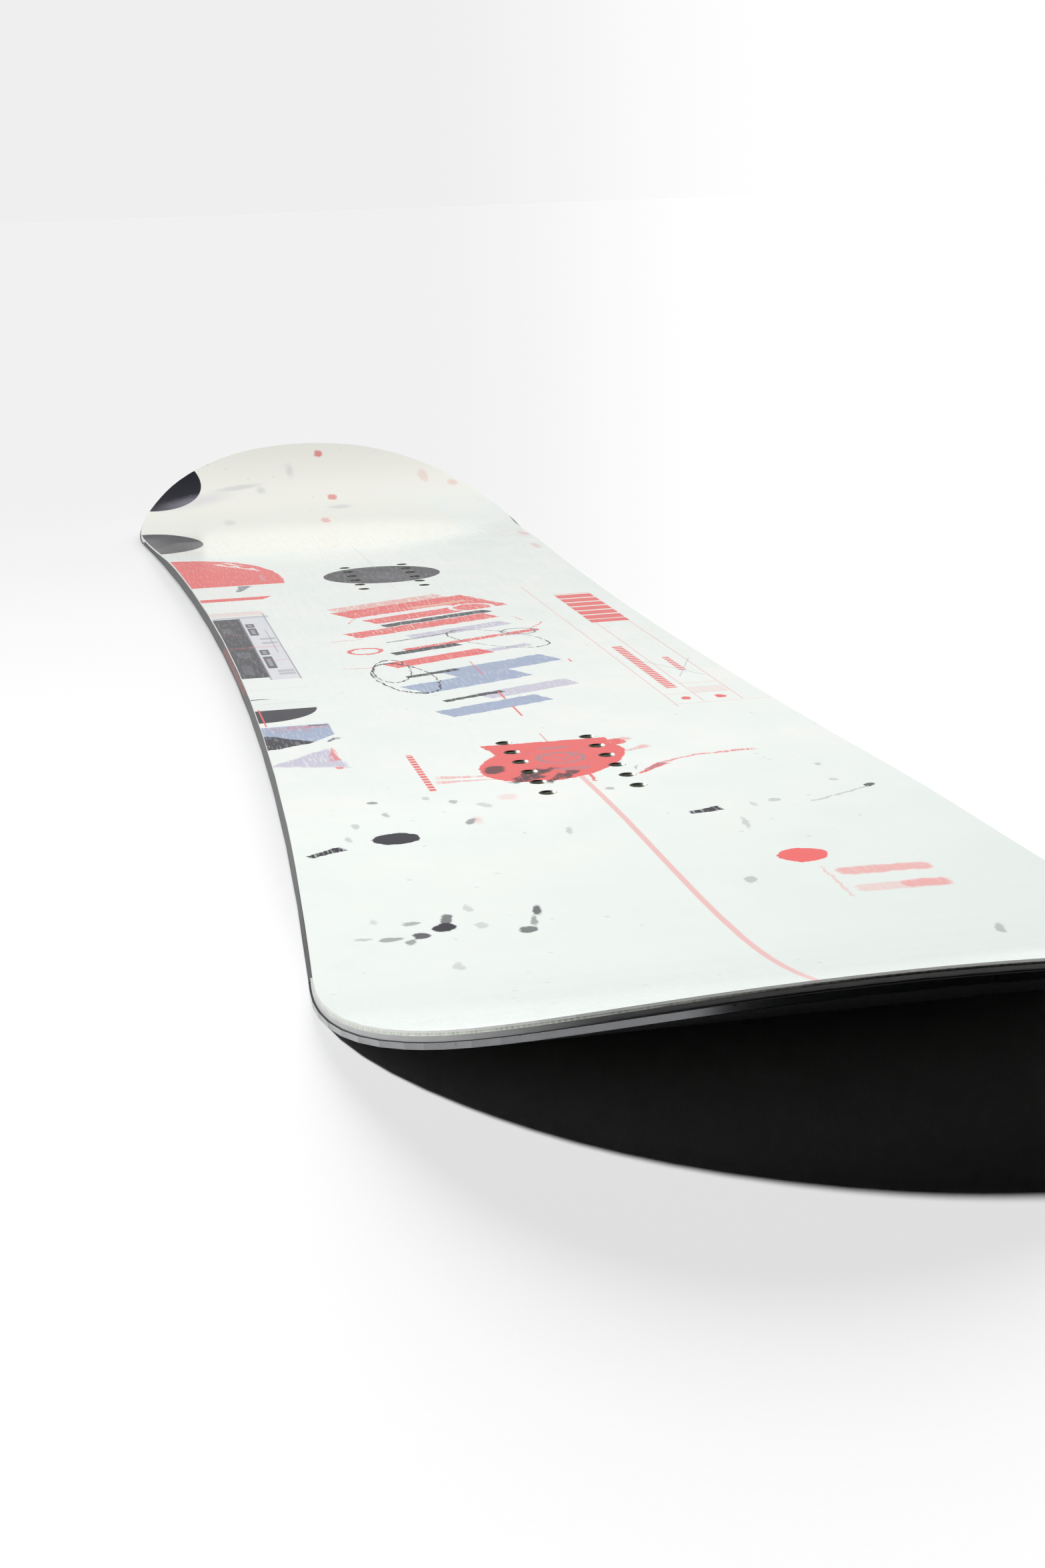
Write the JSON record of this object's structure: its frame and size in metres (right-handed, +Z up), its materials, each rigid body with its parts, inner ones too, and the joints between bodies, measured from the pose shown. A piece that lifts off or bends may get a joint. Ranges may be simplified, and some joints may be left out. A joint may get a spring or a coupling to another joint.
{
  "type": "snowboard",
  "caption": "Cambered twin snowboard without bindings: layered wood-core deck with upturned ends, steel edges, plastic sidewalls, black base and front and rear packs of threaded inserts.",
  "frame": {"origin": "on the ground under the middle of the board", "axes": "+X across the board, +Y along it towards the nose, +Z up"},
  "size_m": [0.2958, 1.54, 0.0544],
  "materials": {
    "topsheet": "printed polyamide sheet under a clear satin gloss",
    "base": "stone-ground sintered polyethylene",
    "steel_edge": "ground and sharpened steel",
    "rubber_foil": "matt rubber foil",
    "glass_laminate": "glass cloth in clear epoxy",
    "sidewall": "sanded ABS",
    "spacer": "ABS sheet with a ground rim",
    "poplar": "planed poplar",
    "beech": "planed beech",
    "insert_steel": "turned stainless steel"
  },
  "bodies": {
    "root": {"base": "base", "core_strip_centre": "poplar", "core_strip_left_1": "beech", "core_strip_left_2": "poplar", "core_strip_left_3": "beech", "core_strip_left_outer": "poplar", "core_strip_right_1": "beech", "core_strip_right_2": "poplar", "core_strip_right_3": "beech", "core_strip_right_outer": "poplar", "edge_left": "steel_edge", "edge_right": "steel_edge", "inserts_front": "insert_steel", "inserts_rear": "insert_steel", "lower_glass": "glass_laminate", "nose_spacer": "spacer", "rubber_foil_left": "rubber_foil", "rubber_foil_right": "rubber_foil", "sidewall_left": "sidewall", "sidewall_right": "sidewall", "tail_spacer": "spacer", "topsheet": "topsheet", "upper_glass": "glass_laminate"}
  },
  "joints": []
}
